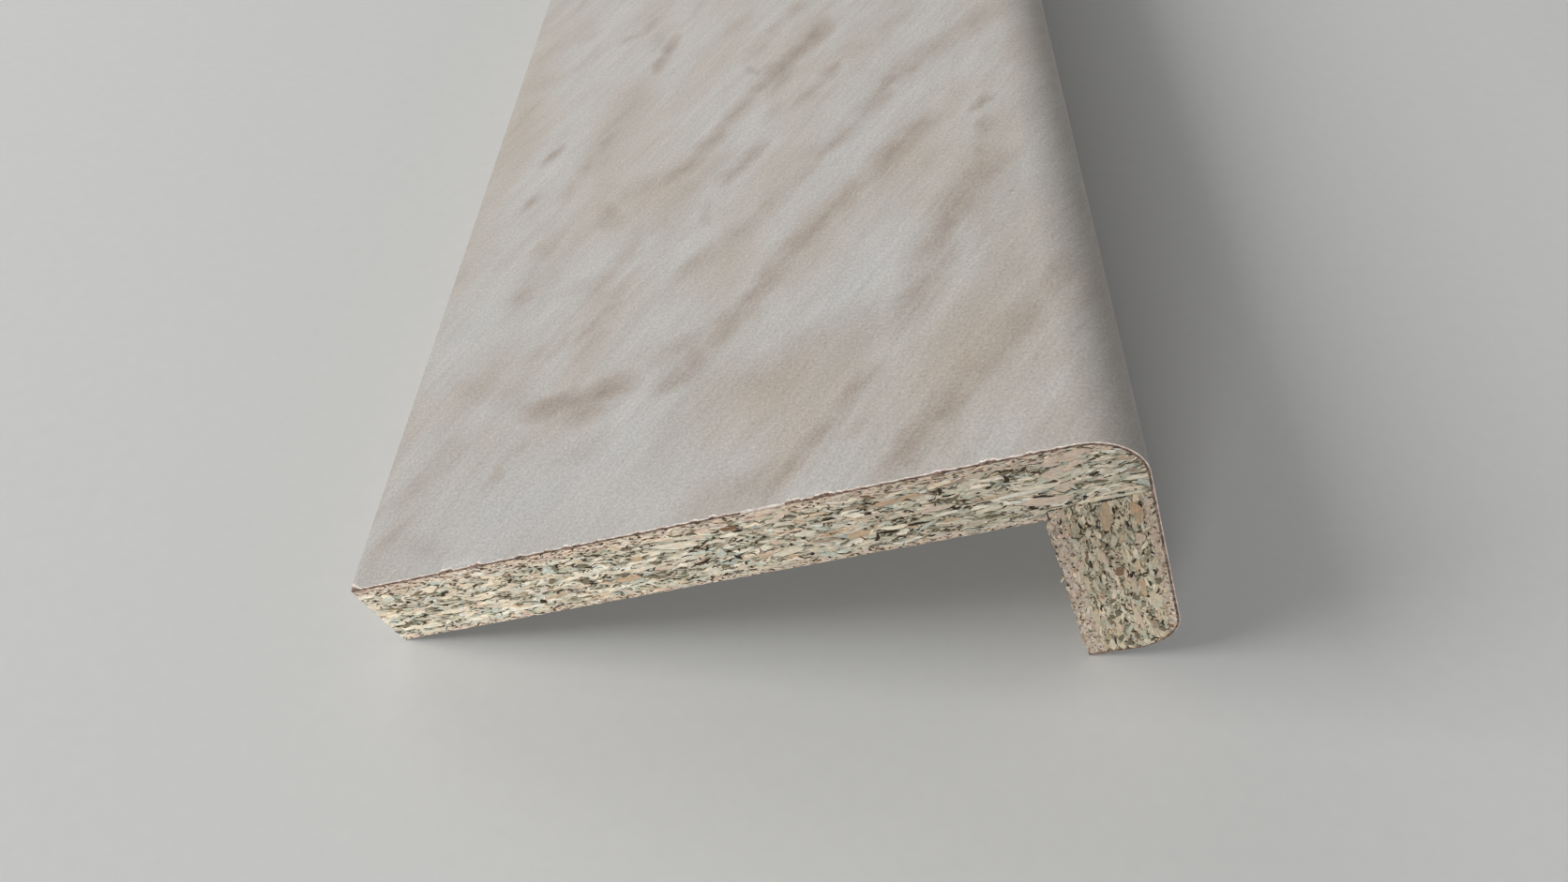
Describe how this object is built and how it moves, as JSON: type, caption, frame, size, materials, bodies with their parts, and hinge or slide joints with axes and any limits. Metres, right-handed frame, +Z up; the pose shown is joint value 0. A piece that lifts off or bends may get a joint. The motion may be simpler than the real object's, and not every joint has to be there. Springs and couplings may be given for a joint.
{
  "type": "window sill board",
  "caption": "Laminate-faced chipboard window sill board with a rounded front edge and a deep nose that hangs down in front of the wall.",
  "frame": {"origin": "on the floor, at the middle of the space that the board takes up as it lies at rest", "axes": "+X level, towards the nose; +Y level, along the board's length, away from the cut end in the picture; +Z up. The top face slopes up towards the nose by 19.45 degrees, because the board rests on its rear lower edge and on the nose's inner lower corner."},
  "size_m": [0.1606, 1, 0.0644],
  "materials": {
    "board_chipboard": "matte",
    "strip_chipboard": "matte",
    "laminate": "satin"
  },
  "bodies": {
    "root": {"sill_board": "board_chipboard", "nose_strip": "strip_chipboard", "laminate_facing": "laminate"}
  },
  "joints": []
}
